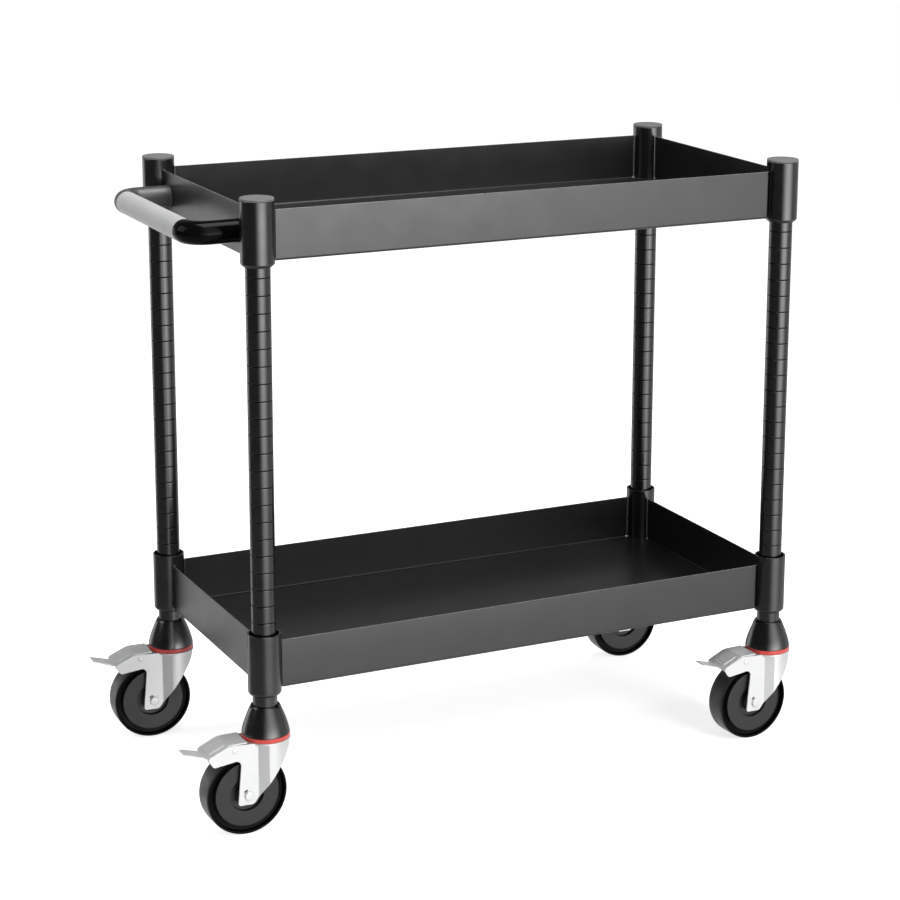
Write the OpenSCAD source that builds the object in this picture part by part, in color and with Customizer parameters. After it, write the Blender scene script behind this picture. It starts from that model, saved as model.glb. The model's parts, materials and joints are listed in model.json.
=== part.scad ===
// Rolling utility cart: two sheet steel trays on four grooved tube posts, a push
// handle on the left end and four braked swivel casters. Millimetres, +Z up.
// X runs along the cart with the handle at -X, Y runs across it with the front at -Y.

/* [Posts] */
// Distance between post centres along the cart
post_span_x = 865; // [700:1:1200]
// Distance between post centres across the cart
post_span_y = 421; // [340:1:600]
// Outer diameter of the post tubes
post_d = 36; // [34:0.5:38]
// Wall of the post tubes
post_wall = 1.5; // [1.2:0.1:2.5]
// Length of the post tubes
post_length = 753; // [740:1:900]
// Spacing of the shelf grooves round the posts
groove_pitch = 25.4; // [24:0.1:26]
// Width of each groove
groove_w = 1.2; // [1:0.1:2]
// Depth of each groove
groove_depth = 0.6; // [0.4:0.1:0.8]
// Distance of the first groove below the head of the post
groove_first = 6.6; // [6:0.1:12]
// Least length of plain post below the last groove
groove_foot = 28; // [26:0.5:32]
// Thickness of the round cap on each post
cap_t = 3.8; // [3:0.1:6]
// Length of the plug under each cap
cap_plug_l = 18; // [10:1:25]

/* [Trays] */
// Grooves left free below the one that holds the lower tray
lower_groove_count = 2; // [2:1:4]
// Grooves left free above the one that holds the upper tray
upper_groove_count = 1; // [1:1:7]
// Thickness of the tray sheet
sheet_t = 2; // [1.5:0.1:2.5]
// Height of the tray walls
tray_wall_h = 73.5; // [50:0.5:75]
// How far the tray walls stand outside the line of the post centres
tray_overhang = 2.5; // [1:0.1:5]
// Outer radius of the bend where a wall turns in beside a collar
wall_end_r = 3.5; // [3:0.1:5]
// Length of the turned-in wall end past its bend
wall_end_l = 0.5; // [0.2:0.1:5]
// Outer diameter of the corner collars
collar_d = 49; // [48:0.5:52]
// Wall of the corner collars
collar_wall = 2.4; // [2:0.1:2.6]
// Height of the corner collars
collar_h = 92; // [90:1:100]
// How far a collar's top stands above the tray wall
collar_rise = 14.5; // [5:0.5:18]
// Height of the gripped groove above a collar's bottom edge
collar_seat = 60; // [57:0.5:62]
// How far the wedge sleeve shows below its collar
sleeve_lip = 2; // [1:0.5:9]
// Length of the wedge sleeve
sleeve_h = 78; // [72:1:85]
// Width of the two slots that split a sleeve into halves
sleeve_slot = 3; // [2:0.5:6]

/* [Handle] */
// Outer diameter of the handle elbows
handle_d = 34.4; // [32:0.2:35]
// Distance from the tray end to the axis of the grip
handle_reach = 76; // [72:1:110]
// Distance of each handle arm inboard of its post centre
handle_inset = 54.5; // [50:0.5:80]
// Centreline radius of the elbow bend
elbow_bend_r = 27; // [25:1:32]
// Length of the elbow's straight end at the grip
elbow_socket_l = 2; // [1:0.5:12]
// Outer diameter of the grip
grip_d = 34.2; // [32:0.2:35]
// Distance of the ring groove near each end of the grip from that end
grip_seam = 33; // [10:1:45]
// Outer diameter of the steel tube inside the grip
handle_core_d = 24; // [20:0.5:25]
// Wall of the steel tube inside the grip
handle_core_wall = 2; // [1:0.5:3]
// Diameter of the bolts that hold the handle
handle_bolt_d = 8; // [6:1:10]

/* [Wheel] */
// Outer diameter of the tyre
wheel_d = 125; // [120:1:130]
// Width of the tyre
tyre_w = 36; // [32:1:37]
// Radial thickness of the tyre
tyre_t = 12.5; // [10:0.5:14]
// Outer diameter of the wheel bearing
bearing_d = 26; // [22:1:28]
// Diameter of the axle bolt
axle_d = 10; // [8:1:12]
// Outer diameter of the sleeve that the wheel turns on
axle_sleeve_d = 15; // [14:0.5:17]

/* [Caster] */
// Horizontal distance from the swivel axis back to the axle
trail = 37; // [35:0.5:40]
// Clear height between the tyre and the fork crown
crown_gap = 13; // [11:0.5:16]
// Thickness of the fork crown
crown_t = 3; // [3:0.1:4]
// Thickness of the fork sides
fork_t = 2.5; // [2:0.1:3]
// Inside width between the fork sides
fork_gap = 44; // [44:0.5:46]
// Outer radius of the curved front of the fork
fork_wrap_r = 34.3; // [33:0.1:34.5]
// Outer radius of the round swivel head
head_r = 33; // [32:0.1:34]
// Thickness of the swivel head
head_t = 4.7; // [4:0.1:6]
// Radial width of the red seal round the head
seal_w = 2.5; // [2:0.1:3]
// Pitch radius of the ball race
race_r = 24; // [22:0.5:26]
// Ball diameter
ball_d = 4.6; // [4:0.1:4.8]
// Number of balls in one race
ball_count = 18; // [12:1:24]
// Diameter of the king pin where the fork turns on it
king_pin_d = 16; // [14:0.5:18]
// Diameter of the threaded stem
stem_d = 12; // [10:1:12]
// Height of the bell cover over the stem
cover_h = 42; // [38:1:46]
// Outer radius of the bell cover at its top
cover_top_r = 21.5; // [21:0.5:24]
// Wall of the bell cover
cover_wall = 2.5; // [2:0.1:3]
// How far the post foot reaches down into the bell cover
post_dip = 8; // [5:1:12]
// Length of the expander plug in the post
expander_h = 56; // [40:1:80]

/* [Brake] */
// Distance of the brake pin behind the swivel axis
brake_pin_x = 58.3; // [57:0.1:60]
// Height of the brake pin above the tyre
brake_pin_rise = 10; // [9:0.1:10.5]
// Diameter of the brake pin
brake_pin_d = 6; // [5:0.1:7]
// Angle through which the lever is pressed down to lock
brake_throw = 10; // [8:0.5:11]
// Thickness of the lever sheet
lever_t = 2; // [1.5:0.1:2.5]
// Distance of the lever's tip behind the swivel axis
lever_reach = 131; // [120:1:145]
// Width of the lever's tongue
tongue_w = 23; // [18:1:30]
// Gap between the shoe and the tyre when the brake is on
shoe_gap = 0.6; // [0.4:0.1:1]

/* [Hidden] */
$fn = 64;

// Corners in the order front left, front right, back right, back left.
CORNERS = [[-1, -1], [1, -1], [1, 1], [-1, 1]];
FL = 0;
FR = 1;
BR = 2;
BL = 3;
// Resting turn of each caster away from trailing straight towards -X, in degrees.
REST_TURN = [-1, -3, 0, 2];

press_fit = 0.03;      // play between pieces that are fixed together
running_fit = 0.05;    // radial play of a shaft that turns in its bore
running_gap = 0.3;     // play between faces that slide past each other
cut = 1;               // how far cutting shapes reach past the solid

// Heights, from the floor up.
axle_z = wheel_d / 2;
crown_bottom = wheel_d + crown_gap;
crown_top = crown_bottom + crown_t;
swivel_gap = 2.3;
head_bottom = crown_top + swivel_gap;
head_top = head_bottom + head_t;
cover_top = head_top + cover_h;
post_bottom = cover_top - post_dip;
post_top = post_bottom + post_length;
// Grooves are counted down from the head of the post, starting at 0.
function groove_z(k) = post_top - groove_first - k * groove_pitch;
groove_last = floor((post_length - groove_first - groove_foot) / groove_pitch);
upper_groove = upper_groove_count;
lower_groove = groove_last - lower_groove_count;
function collar_bottom(k) = groove_z(k) - collar_seat;
function tray_bottom(k) = collar_bottom(k) + collar_h - collar_rise - tray_wall_h;

// Outline of the whole cart, which sets where the origin lies.
crown_r = head_r + seal_w + 0.7;
function tip_reach(turn) = lever_reach * cos(turn) + tongue_w / 2 * abs(sin(turn));
reach_left = max(tip_reach(REST_TURN[FL]), tip_reach(REST_TURN[BL]),
    tray_overhang + handle_reach + grip_d / 2);
centre_x = (reach_left - crown_r) / 2;
function corner_x(i) = centre_x + CORNERS[i][0] * post_span_x / 2;
function corner_y(i) = CORNERS[i][1] * post_span_y / 2;

module at_corner(i) {
    translate([corner_x(i), corner_y(i), 0]) children();
}

module at_corners() {
    for (i = [0:3]) at_corner(i) children();
}

// A caster's own frame: +X trails behind the swivel axis, +Y lies along the axle.
module at_caster(i) {
    at_corner(i) rotate(180 - REST_TURN[i]) children();
}

// ---- Outline helpers ----

function unit(v) = v / norm(v);

// Points of one rounded corner between the corners before and after it.
function round_corner(before, at, after, r) =
    r == 0 ? [at] :
    let (a = unit(before - at), b = unit(after - at), half = acos(a * b) / 2,
        start = at + a * r / tan(half), end = at + b * r / tan(half),
        centre = at + unit(a + b) * r / sin(half),
        a0 = atan2(start[1] - centre[1], start[0] - centre[0]),
        a1 = atan2(end[1] - centre[1], end[0] - centre[0]),
        sweep = a1 - a0 > 180 ? a1 - a0 - 360 : a1 - a0 < -180 ? a1 - a0 + 360 : a1 - a0,
        steps = max(2, ceil(abs(sweep) / 12)))
    [for (i = [0:steps]) centre + r * [cos(a0 + sweep * i / steps), sin(a0 + sweep * i / steps)]];

// Closed outline from corners given as [x, y, radius].
function rounded(c) = [for (i = [0:len(c) - 1])
    let (p = c[(i + len(c) - 1) % len(c)], q = c[i], n = c[(i + 1) % len(c)])
    each round_corner([p[0], p[1]], [q[0], q[1]], [n[0], n[1]], q[2])];

// Extrudes an outline drawn in X and Z sideways, half of the width to each side.
module side_plate(width) {
    rotate([90, 0, 0]) linear_extrude(height = width, center = true) children();
}

// A cylinder along Y, half of the width to each side.
module cross_rod(x, z, d, width) {
    translate([x, 0, z]) rotate([90, 0, 0]) cylinder(d = d, h = width, center = true);
}

module tube(d, bore, h) {
    difference() {
        cylinder(d = d, h = h);
        translate([0, 0, -cut]) cylinder(d = bore, h = h + 2 * cut);
    }
}

// ---- Posts ----

post_bore = post_d - 2 * post_wall;

module post(i) {
    color("#232425") at_corner(i) difference() {
        translate([0, 0, post_bottom]) tube(post_d, post_bore, post_length);
        for (k = [0:groove_last])
            translate([0, 0, groove_z(k) - groove_w / 2])
                tube(post_d + 2 * cut, post_d - 2 * groove_depth, groove_w);
    }
}

module post_end_caps() {
    plug_wall = 2.5;
    color("#1c1c1d") at_corners() translate([0, 0, post_top]) difference() {
        union() {
            rotate_extrude() polygon(rounded([[0, 0, 0], [collar_d / 2 - 0.6, 0, 0],
                [collar_d / 2, 0.6, 0], [collar_d / 2, cap_t, 0.8], [0, cap_t, 0]]));
            translate([0, 0, -cap_plug_l])
                cylinder(d = post_bore - 2 * press_fit, h = cap_plug_l + cap_t / 2);
        }
        translate([0, 0, -cap_plug_l - cut])
            cylinder(d = post_bore - 2 * plug_wall, h = cap_plug_l + cut);
    }
}

// ---- Trays ----

weld_gap = 0.05;
tray_x = post_span_x + 2 * tray_overhang;
tray_y = post_span_y + 2 * tray_overhang;
tray_left = centre_x - tray_x / 2;
upper_wall_mid = tray_bottom(upper_groove) + tray_wall_h / 2;
handle_z = upper_wall_mid;
handle_arm_y = post_span_y / 2 - handle_inset;

// One wall seen from above: outer face on Y = 0, both ends turned in beside the collars.
module wall_outline(length) {
    translate([wall_end_r - length / 2, 0])
        square([length - 2 * wall_end_r, sheet_t]);
    for (side = [0, 1]) mirror([side, 0]) {
        translate([length / 2 - wall_end_r, wall_end_r]) intersection() {
            difference() {
                circle(r = wall_end_r);
                circle(r = wall_end_r - sheet_t);
            }
            translate([0, -wall_end_r]) square(wall_end_r);
        }
        translate([length / 2 - sheet_t, wall_end_r]) square([sheet_t, wall_end_l]);
    }
}

module wall(length, offset, turn, bottom) {
    translate([centre_x, 0, bottom]) rotate(turn) translate([0, -offset, 0])
        linear_extrude(height = tray_wall_h) wall_outline(length);
}

module tray(k) {
    collar_side = collar_d + 2 * weld_gap;
    bottom = tray_bottom(k);
    difference() {
        translate([centre_x - tray_x / 2, -tray_y / 2, bottom]) cube([tray_x, tray_y, sheet_t]);
        at_corners() translate([0, 0, bottom - cut]) cylinder(d = collar_side, h = sheet_t + 2 * cut);
    }
    for (turn = [0, 180]) wall(post_span_x - collar_side, tray_y / 2, turn, bottom);
    for (turn = [90, 270]) wall(post_span_y - collar_side, tray_x / 2, turn, bottom);
}

module upper_tray() {
    color("#3a3b3c") difference() {
        tray(upper_groove);
        for (side = [-1, 1])
            translate([tray_left - cut, side * handle_arm_y, handle_z])
                rotate([0, 90, 0]) cylinder(d = handle_bolt_d + 0.6, h = sheet_t + 2 * cut);
    }
}

module lower_tray() {
    color("#3a3b3c") tray(lower_groove);
}

collar_bore = collar_d - 2 * collar_wall;

module collars(k) {
    chamfer = min(4, collar_wall + 1.6);
    color("#242526") at_corners() translate([0, 0, collar_bottom(k)]) rotate_extrude()
        polygon([[collar_bore / 2, 0], [collar_d / 2 - collar_wall * 0.6, 0],
            [collar_d / 2 - collar_wall * 0.25, chamfer * 0.4], [collar_d / 2, chamfer],
            [collar_d / 2, collar_h], [collar_bore / 2, collar_h]]);
}

// Split plastic sleeve between post and collar, with a rib that sits in one groove.
module sleeves(k) {
    inner = post_d / 2 + press_fit;
    outer = collar_bore / 2 - press_fit;
    lip = outer - 1.6;
    rib = groove_depth - 0.1;
    foot = collar_bottom(k) - sleeve_lip;
    rib_z = groove_z(k) - foot;
    rib_h = groove_w - 0.2;
    color("#19191a") at_corners() translate([0, 0, foot]) difference() {
        rotate_extrude() polygon([[inner, 0], [lip - 0.8, 0], [lip, 0.8], [lip, sleeve_lip],
            [outer, sleeve_lip + 0.8], [outer, sleeve_h], [inner, sleeve_h],
            [inner, rib_z + rib_h / 2], [inner - rib, rib_z + rib_h / 2],
            [inner - rib, rib_z - rib_h / 2], [inner, rib_z - rib_h / 2]]);
        translate([-collar_d, -sleeve_slot / 2, -cut])
            cube([2 * collar_d, sleeve_slot, sleeve_h + 2 * cut]);
    }
}

// ---- Handle ----

grip_half = handle_arm_y - elbow_bend_r - elbow_socket_l;
grip_x = tray_left - handle_reach;
flange_t = 2;
insert_d = handle_bolt_d + 7;
insert_l = 22;
core_seat = elbow_socket_l + 6;

// Elbow on one arm: flange at the tray, arm, quarter bend and a socket for the grip.
module handle_elbow(side) {
    arm_l = handle_reach - elbow_bend_r;
    color("#0c0c0d") translate([grip_x, side * handle_arm_y, handle_z]) mirror([0, side > 0 ? 1 : 0, 0])
        difference() {
            union() {
                translate([elbow_bend_r, 0, 0]) rotate([0, 90, 0]) cylinder(d = handle_d, h = arm_l);
                translate([handle_reach - flange_t, 0, 0]) rotate([0, 90, 0])
                    cylinder(d = handle_d + 1.6, h = flange_t);
                translate([elbow_bend_r, elbow_bend_r, 0]) rotate(180)
                    rotate_extrude(angle = 90) translate([elbow_bend_r, 0]) circle(d = handle_d);
                translate([0, elbow_bend_r, 0]) rotate([-90, 0, 0])
                    cylinder(d = handle_d, h = elbow_socket_l);
            }
            translate([0, elbow_bend_r + elbow_socket_l - core_seat, 0]) rotate([-90, 0, 0])
                cylinder(d = handle_core_d + 2 * press_fit, h = core_seat + cut);
            translate([handle_reach - insert_l - 1, 0, 0]) rotate([0, 90, 0])
                cylinder(d = insert_d + 2 * press_fit, h = insert_l + 1 + cut);
        }
}

module handle_grip() {
    color("#8a8b8c") translate([grip_x, 0, handle_z]) rotate([90, 0, 0]) difference() {
        translate([0, 0, -grip_half]) tube(grip_d, handle_core_d + 2 * press_fit, 2 * grip_half);
        for (side = [-1, 1])
            translate([0, 0, side * (grip_half - grip_seam) - 0.4]) tube(grip_d + cut, grip_d - 0.8, 0.8);
    }
}

module handle_core() {
    half = grip_half + core_seat - 0.2;
    color("#9a9c9e") translate([grip_x, 0, handle_z]) rotate([90, 0, 0]) translate([0, 0, -half])
        tube(handle_core_d, handle_core_d - 2 * handle_core_wall, 2 * half);
}

module handle_bolts() {
    washer_t = 1.6;
    head_h = handle_bolt_d * 0.65;
    inside = tray_left + sheet_t;
    reach_in = insert_l - 4;
    color("#8f9193") for (side = [-1, 1])
        translate([inside, side * handle_arm_y, handle_z]) rotate([0, 90, 0]) {
            difference() {
                cylinder(d = handle_bolt_d * 2.1, h = washer_t);
                translate([0, 0, -cut]) cylinder(d = handle_bolt_d + 0.4, h = washer_t + 2 * cut);
            }
            translate([0, 0, washer_t]) difference() {
                cylinder(d = handle_bolt_d * 1.85, h = head_h, $fn = 6);
                translate([0, 0, head_h - 1.2]) cylinder(d = handle_bolt_d * 0.9, h = 2);
            }
            translate([0, 0, -sheet_t - reach_in])
                cylinder(d = handle_bolt_d, h = washer_t + sheet_t + reach_in + 0.5);
        }
}

module handle_inserts() {
    color("#b29a55") for (side = [-1, 1])
        translate([tray_left - insert_l, side * handle_arm_y, handle_z]) rotate([0, 90, 0])
            tube(insert_d, handle_bolt_d + 2 * press_fit, insert_l - 0.2);
}

// ---- Caster stem, seen from the king pin up ----

pin_flange_h = 3.6;
pin_flange_z = crown_bottom - running_gap - pin_flange_h;
nut_h = 8;
expander_bottom = post_bottom + 3;
expander_top = expander_bottom + expander_h;
washer_h = 2;
nut_across = stem_d * 1.7;

module caster_stems() {
    color("#9a9c9e") at_corners() {
        translate([0, 0, pin_flange_z]) cylinder(d = king_pin_d + 8, h = pin_flange_h);
        translate([0, 0, pin_flange_z]) cylinder(d = king_pin_d, h = head_bottom - pin_flange_z);
        translate([0, 0, pin_flange_z])
            cylinder(d = stem_d, h = expander_top + washer_h + nut_h + 4 - pin_flange_z);
    }
}

module stem_nuts() {
    color("#8f9193") at_corners() for (z = [head_top, expander_top + washer_h])
        translate([0, 0, z]) difference() {
            cylinder(d = nut_across, h = nut_h, $fn = 6);
            translate([0, 0, -cut]) cylinder(d = stem_d + 2 * press_fit, h = nut_h + 2 * cut);
        }
}

module caster_expanders() {
    color("#2a2a2b") at_corners() {
        translate([0, 0, expander_bottom])
            tube(post_bore - 2 * press_fit, stem_d + 2 * press_fit, expander_h);
        translate([0, 0, expander_top])
            tube(post_bore - 4, stem_d + 2 * press_fit, washer_h);
        translate([0, 0, head_top + nut_h])
            tube(nut_across + 2, stem_d + 2 * press_fit, expander_bottom - head_top - nut_h);
    }
}

cover_foot_r = head_r + seal_w;
// Outer radius of the bell cover at a share of its height: steep at the foot, then conical.
function cover_r(share) = cover_top_r + (cover_foot_r - cover_top_r) * (1 - pow(share, 1.35));

module caster_covers() {
    steps = 12;
    ledge = post_dip + 3;
    outer = [for (i = [0:steps]) [cover_r(i / steps), cover_h * i / steps]];
    inner = [for (i = [steps:-1:0])
        let (z = (cover_h - ledge) * i / steps) [cover_r(z / cover_h) - cover_wall, z]];
    color("#161617") at_corners() translate([0, 0, head_top]) difference() {
        rotate_extrude() polygon(concat(outer, [[nut_across / 2 + 1.5, cover_h],
            [nut_across / 2 + 1.5, cover_h - ledge]], inner));
        translate([0, 0, cover_h - post_dip]) cylinder(d = post_d + 0.6, h = post_dip + cut);
        for (turn = [60:120:300]) rotate(turn) translate([0, -2, cover_h - 2.5]) cube([cover_foot_r, 4, 5]);
    }
}

module swivel_heads() {
    color("#c4c6c8") at_corners() difference() {
        translate([0, 0, head_bottom]) tube(2 * head_r, stem_d + 2 * press_fit, head_t);
        ball_race();
    }
}

module dust_seals() {
    bottom = crown_top + running_gap;
    color("#d8483a") at_corners() translate([0, 0, bottom])
        tube(2 * (head_r + seal_w), 2 * (head_r + press_fit), head_top - bottom);
}

race_z = crown_top + swivel_gap / 2;

module ball_race() {
    translate([0, 0, race_z]) rotate_extrude() translate([race_r, 0]) circle(d = ball_d + 0.5);
}

module swivel_balls() {
    color("#d0d2d4") at_corners() for (i = [0:ball_count - 1])
        rotate(i * 360 / ball_count) translate([race_r, 0, race_z]) sphere(d = ball_d);
}

// ---- Fork ----

fork_half = fork_gap / 2 + fork_t;
pin_z = wheel_d + brake_pin_rise;
flank_start = 8;
flank_end = 22;
arm_rise = 3;

// Plan of the fork: round front, two flanks that draw in, then two parallel sides.
module fork_plan(wrap, half) {
    flank_y = sqrt(wrap * wrap - flank_start * flank_start);
    intersection() {
        circle(r = wrap);
        translate([-wrap, -wrap]) square([wrap + flank_start, 2 * wrap]);
    }
    far = trail + 2 * wrap;
    polygon([[flank_start - 0.5, -flank_y], [flank_end, -half], [far, -half],
        [far, half], [flank_end, half], [flank_start - 0.5, flank_y]]);
}

// Side view of the fork, written from the axle and the crown.
fork_side = rounded([
    [-fork_wrap_r, crown_bottom, 0],
    [-fork_wrap_r, crown_top - crown_t / 3, 0],
    [flank_end + 2, crown_top - crown_t / 3, 0],
    [flank_end + 4, crown_top, 0],
    [trail + 30, crown_top + arm_rise, 24],
    [trail + 63, crown_top - 11.5, 5],
    [trail + 53.5, crown_top - 26.5, 6],
    [trail + 10.5, crown_top - 21, 8],
    [trail + 16.8, axle_z - 13.5, 4],
    [trail - 8, axle_z - 14.2, 8]]);

module fork() {
    difference() {
        union() {
            translate([0, 0, crown_bottom]) cylinder(r = crown_r, h = crown_t);
            intersection() {
                side_plate(4 * fork_half) polygon(fork_side);
                linear_extrude(height = crown_top + 2 * arm_rise) difference() {
                    fork_plan(fork_wrap_r, fork_half);
                    fork_plan(fork_wrap_r - fork_t, fork_half - fork_t);
                }
            }
        }
        translate([0, 0, crown_bottom - cut])
            cylinder(d = king_pin_d + 2 * running_fit, h = crown_t + 2 * cut);
        ball_race();
        cross_rod(brake_pin_x, pin_z, brake_pin_d + 2 * press_fit, 4 * fork_half);
        cross_rod(trail, axle_z, axle_d + 2 * press_fit, 4 * fork_half);
        lock_slot();
    }
}

// Oblong notch in the near fork side that keeps the axle from turning.
module lock_slot() {
    slot_w = 3;
    slot_half = 1.5;
    from_axle = 9;
    side_plate(fork_gap + 8 * fork_t) translate([trail, axle_z]) rotate(58)
        translate([from_axle, 0]) {
            translate([-slot_w / 2, -slot_half]) square([slot_w, 2 * slot_half]);
            for (end = [-slot_half, slot_half]) translate([0, end]) circle(d = slot_w);
        }
}

module axle() {
    head_h = 3.2;
    nut_h = axle_d * 0.8;
    thread = 2;        // shaft that stands out past the nut
    color("#c9cbcd") {
        translate([trail, 0, axle_z]) rotate([-90, 0, 0]) translate([0, 0, fork_half])
            rotate_extrude() polygon(rounded([[0, 0, 0], [axle_d * 0.7, 0, 0],
                [axle_d * 0.7, head_h, 1], [0, head_h, 0]]));
        translate([trail, -fork_half - nut_h - thread, axle_z]) rotate([-90, 0, 0])
            cylinder(d = axle_d, h = 2 * fork_half + nut_h + thread + 0.5);
        translate([trail, -fork_half - nut_h, axle_z]) rotate([-90, 0, 0]) difference() {
            cylinder(d = axle_d * 1.9, h = nut_h, $fn = 6);
            translate([0, 0, -cut]) cylinder(d = axle_d + 2 * press_fit, h = nut_h + 2 * cut);
        }
    }
}

module axle_sleeve() {
    width = fork_gap - 2 * press_fit;
    color("#a9abad") difference() {
        cross_rod(trail, axle_z, axle_sleeve_d, width);
        cross_rod(trail, axle_z, axle_d + 2 * press_fit, width + 2 * cut);
    }
}

module brake_pin() {
    head_h = 1.2;
    color("#c9cbcd") {
        cross_rod(brake_pin_x, pin_z, brake_pin_d, 2 * fork_half + head_h);
        for (side = [0, 1]) mirror([0, side, 0]) translate([brake_pin_x, fork_half, pin_z])
            rotate([-90, 0, 0]) cylinder(d = brake_pin_d + 1.6, h = head_h);
    }
}

// ---- Wheel ----

rim_r = wheel_d / 2 - tyre_t;

// Half section turned about the axle; outlines are drawn as [radius, half width].
module wheel_ring(half_section) {
    flipped = [for (i = [len(half_section) - 1:-1:0]) [half_section[i][0], -half_section[i][1]]];
    translate([trail, 0, axle_z]) rotate([90, 0, 0]) rotate_extrude() polygon(concat(half_section, flipped));
}

module tyre() {
    half = tyre_w / 2;
    lip_r = wheel_d / 2 - 4.5;
    flank = 6.5;
    color("#1b1b1c") wheel_ring([[rim_r + press_fit, half - flank], [lip_r - 1, half - flank],
        [lip_r, half - 0.6], [lip_r + 0.8, half], [lip_r + 2, half],
        [wheel_d / 2 - 0.7, half - 1.4], [wheel_d / 2, half - 3.4]]);
}

module wheel_centre() {
    face = tyre_w / 2 - 0.8;
    hub_r = bearing_d / 2 + 3.5;
    dish_r = bearing_d / 2 + 13;
    dish = 6;
    color("#2c2c2d") wheel_ring([[bearing_d / 2 + press_fit, face - 0.5], [hub_r, face - 0.5],
        [hub_r, face - dish], [dish_r, face - dish], [dish_r + 0.5, face - 0.5], [dish_r + 1, face],
        [rim_r - 1.5, face], [rim_r, face - 1.2]]);
}

module wheel_bearing() {
    width = fork_gap - 5;
    color("#8c8e90") difference() {
        cross_rod(trail, axle_z, bearing_d, width);
        cross_rod(trail, axle_z, axle_sleeve_d + 2 * running_fit, width + 2 * cut);
    }
}

// ---- Brake ----

ear_half = fork_gap / 2 - 0.5;
lever_crest_x = trail + 29;
lever_crest_z = crown_top + 4;
lever_fold_x = trail + 62;
lever_fold_z = crown_top - 11;
lever_slope = atan2(lever_crest_z - lever_fold_z, lever_fold_x - lever_crest_x);
tongue_rise = 9;
lever_start_x = crown_r + 1.5;

// Side view of the lever sheet, lowered by a given amount.
function lever_line(drop) = [
    [lever_start_x, lever_crest_z - drop],
    [lever_crest_x - drop * tan(lever_slope / 2), lever_crest_z - drop],
    [lever_fold_x - drop * tan(lever_slope / 2), lever_fold_z - drop]];

module brake_lever() {
    top = lever_line(0);
    low = lever_line(lever_t);
    ear_w = lever_t;
    color("#b9bbbd") difference() {
        union() {
            side_plate(2 * ear_half) polygon(rounded([[top[0][0], top[0][1], 0], [top[1][0], top[1][1], 12],
                [top[2][0], top[2][1], 0], [low[2][0], low[2][1], 0], [low[1][0], low[1][1], 10],
                [low[0][0], low[0][1], 0]]));
            for (side = [-1, 1]) translate([0, side * (ear_half - ear_w / 2), 0])
                side_plate(ear_w) polygon(rounded([[brake_pin_x - 10, lever_crest_z - lever_t / 2, 0],
                    [lever_crest_x, lever_crest_z - lever_t / 2, 0],
                    [lever_fold_x - 0.5, lever_fold_z - lever_t / 2, 0],
                    [lever_fold_x - 1, lever_fold_z - 6, 2],
                    [brake_pin_x + 6, pin_z - 8, 4],
                    [brake_pin_x - 8, pin_z - 8, 6]]));
            tongue();
        }
        cross_rod(brake_pin_x, pin_z, brake_pin_d + 2 * running_fit, 4 * ear_half);
    }
}

// Tongue that the foot presses: it rises from the end of the lever and narrows a little.
module tongue() {
    root_x = lever_fold_x - 4;
    root_z = lever_fold_z - 1;
    lip = 3.5;
    intersection() {
        side_plate(4 * ear_half) polygon([[root_x, root_z + 1], [lever_fold_x - 1, lever_fold_z - 0.2],
            [lever_reach, lever_fold_z + tongue_rise], [lever_reach, lever_fold_z + tongue_rise - lip],
            [lever_fold_x, lever_fold_z - lip], [root_x, root_z - 1.2]]);
        linear_extrude(height = lever_fold_z + 3 * tongue_rise)
            polygon(rounded([[root_x, -tongue_w / 2 - 3, 0], [lever_fold_x + 4, -tongue_w / 2 - 3, 0],
                [lever_reach, -tongue_w / 2, 0], [lever_reach, tongue_w / 2, 0],
                [lever_fold_x + 4, tongue_w / 2 + 3, 0], [root_x, tongue_w / 2 + 3, 0]]));
    }
}

module turned_about_pin(angle) {
    translate([brake_pin_x, 0, pin_z]) rotate([0, angle, 0]) translate([-brake_pin_x, 0, -pin_z]) children();
}

// Block that hangs under the lever; its face is round about the axle once the lever is down.
module brake_shoe() {
    pad_w = tyre_w - 8;
    pad_t = 7;
    inner = wheel_d / 2 + shoe_gap;
    from = 50;
    to = 66;
    carrier_w = 16;
    carrier_h = 16;
    carrier_left = lever_crest_x + 6;
    carrier_right = lever_crest_x + 16;
    low = lever_line(lever_t + 0.05);
    function under(x) = low[1][1] - (x - low[1][0]) * tan(lever_slope);
    color("#6f7173") {
        turned_about_pin(-brake_throw) side_plate(pad_w) polygon(concat(
            [for (a = [from:2:to]) [trail, axle_z] + inner * [cos(a), sin(a)]],
            [for (a = [to:-2:from]) [trail, axle_z] + (inner + pad_t) * [cos(a), sin(a)]]));
        side_plate(carrier_w) polygon([[carrier_left, under(carrier_left)],
            [carrier_right, under(carrier_right)], [carrier_right, under(carrier_right) - carrier_h],
            [carrier_left, under(carrier_left) - carrier_h]]);
    }
}

// ---- Drawing ----

post(FL);  // post_front_left
post(FR);  // post_front_right
post(BR);  // post_back_right
post(BL);  // post_back_left
upper_tray();
lower_tray();
collars(upper_groove);  // upper_collars
collars(lower_groove);  // lower_collars
sleeves(upper_groove);  // upper_sleeves
sleeves(lower_groove);  // lower_sleeves
post_end_caps();
handle_elbow(-1);  // handle_elbow_front
handle_elbow(1);  // handle_elbow_rear
handle_grip();
handle_core();
handle_bolts();
handle_inserts();
caster_stems();
stem_nuts();
caster_expanders();
caster_covers();
swivel_heads();
dust_seals();
swivel_balls();
color("#d5d7d9") at_caster(FL) fork();  // fork_fl
color("#d5d7d9") at_caster(FR) fork();  // fork_fr
color("#d5d7d9") at_caster(BR) fork();  // fork_br
color("#d5d7d9") at_caster(BL) fork();  // fork_bl
at_caster(FL) axle();  // axle_fl
at_caster(FR) axle();  // axle_fr
at_caster(BR) axle();  // axle_br
at_caster(BL) axle();  // axle_bl
at_caster(FL) axle_sleeve();  // axle_sleeve_fl
at_caster(FR) axle_sleeve();  // axle_sleeve_fr
at_caster(BR) axle_sleeve();  // axle_sleeve_br
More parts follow.
